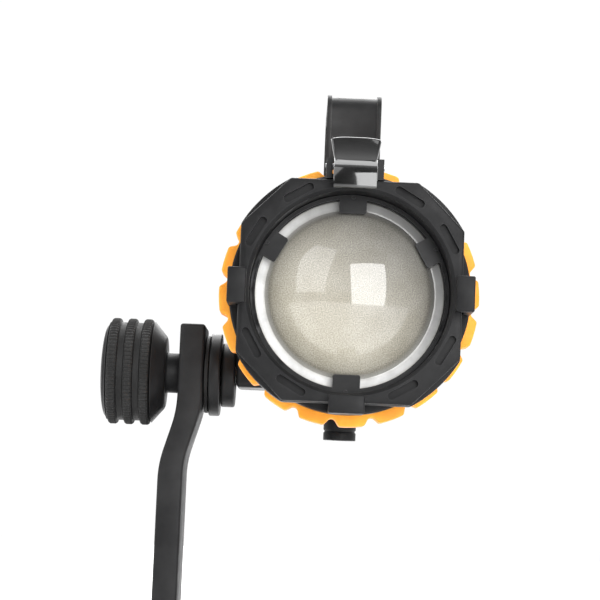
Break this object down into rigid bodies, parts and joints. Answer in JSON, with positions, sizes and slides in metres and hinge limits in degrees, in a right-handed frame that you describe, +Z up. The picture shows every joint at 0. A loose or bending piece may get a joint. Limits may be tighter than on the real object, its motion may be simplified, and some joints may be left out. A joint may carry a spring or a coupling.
{
  "type": "fresnel spotlight",
  "caption": "Small focusing LED spotlight with a convex lens, claws for accessory plates, a sprung top latch, a carrying handle and a one-sided tilting yoke arm with a stand socket.",
  "frame": {"origin": "centre of the stand socket's lower face, where the socket rests on a stand's shoulder", "axes": "+Z up along the socket, the lamp faces -Y at rest, the arm and its tilt knob are at -X"},
  "size_m": [0.1374, 0.1412, 0.2586],
  "materials": {
    "black_plastic": "moulded black plastic, satin, fine grain",
    "gloss_black": "high gloss black",
    "black_metal": "black anodised or painted aluminium, satin",
    "charcoal_metal": "charcoal powder coat, satin",
    "steel": "plain steel",
    "aluminium": "extruded aluminium",
    "orange_rubber": "orange rubber, matte",
    "black_rubber": "black rubber, matte and grained",
    "stippled_glass": "glass, polished front and stippled back",
    "clear_glass": "clear glass",
    "phosphor": "yellow phosphor",
    "board": "white solder mask on aluminium",
    "insulator": "moulded insulator",
    "brass": "brass contact"
  },
  "bodies": {
    "yoke": {"yoke_arm": "charcoal_metal", "stand_socket": "black_metal", "socket_bolt": "steel", "arm_disc": "black_metal", "arm_washer": "black_rubber"},
    "head": {"front_ring": "black_plastic", "lens": "stippled_glass", "lens_gasket": "black_rubber", "latch_bracket": "black_metal", "latch_pin": "steel", "latch_spring": "steel", "claw_right": "black_plastic", "claw_left": "black_plastic", "claw_bottom": "black_plastic", "lens_retainer": "black_metal", "retainer_screw_1": "black_metal", "retainer_screw_2": "black_metal", "retainer_screw_3": "black_metal", "retainer_screw_4": "black_metal", "rear_cover": "black_plastic", "rear_screw_1": "steel", "rear_screw_2": "steel", "rear_screw_3": "steel", "rear_screw_4": "steel", "handle": "charcoal_metal", "handle_screw_front": "black_metal", "handle_screw_rear": "black_metal", "power_inlet": "black_plastic", "inlet_insulator": "insulator", "inlet_pin_left": "brass", "inlet_pin_right": "brass", "tilt_bracket": "black_metal", "bracket_screw_front": "black_metal", "bracket_screw_rear": "black_metal", "barrel_housing": "black_metal", "rear_housing": "black_metal", "guide_tube": "black_metal", "head_disc": "black_metal"},
    "focus_ring": {"focus_core": "black_plastic", "focus_grip": "orange_rubber"},
    "carriage": {"led_heat_sink": "aluminium", "cam_pin_left": "steel", "cam_pin_right": "steel", "led_board": "board", "led_emitter": "phosphor", "collimator_holder": "black_metal", "collimator_lens": "clear_glass"},
    "latch": {"latch_lever": "gloss_black"},
    "tilt_knob": {"tilt_knob_core": "black_plastic", "tilt_knob_grip": "black_rubber", "tilt_bolt": "steel"},
    "stand_lock": {"stand_lock_screw": "steel", "stand_lock_knob": "black_plastic"}
  },
  "joints": [
    {"name": "tilt", "type": "hinge", "parent": "yoke", "child": "head", "pos_m": [-0.0406, 0, 0.1506], "axis": [1, 0, 0], "range_deg": [-90, 90]},
    {"name": "focus", "type": "hinge", "parent": "head", "child": "focus_ring", "pos_m": [0, -0.033, 0.1786], "axis": [0, 1, 0], "range_deg": [0, 120]},
    {"name": "focus_travel", "type": "slide", "parent": "head", "child": "carriage", "axis": [0, -1, 0], "range_m": [0, 0.022]},
    {"name": "latch_release", "type": "hinge", "parent": "head", "child": "latch", "pos_m": [0, -0.0538, 0.2229], "axis": [-1, 0, 0], "range_deg": [0, 22], "stiffness_Nm_per_rad": 0.3, "springref_deg": -11.46},
    {"name": "tilt_knob_turn", "type": "hinge", "parent": "yoke", "child": "tilt_knob", "pos_m": [-0.062, 0, 0.1506], "axis": [1, 0, 0], "range_deg": [0, 360]},
    {"name": "stand_lock_turn", "type": "hinge", "parent": "yoke", "child": "stand_lock", "pos_m": [0.019, 0, 0.018], "axis": [1, 0, 0], "range_deg": [0, 360]}
  ],
  "couplings": [
    {"joint": "focus_travel", "follows": "focus", "m_per_rad": 0.010504}
  ]
}
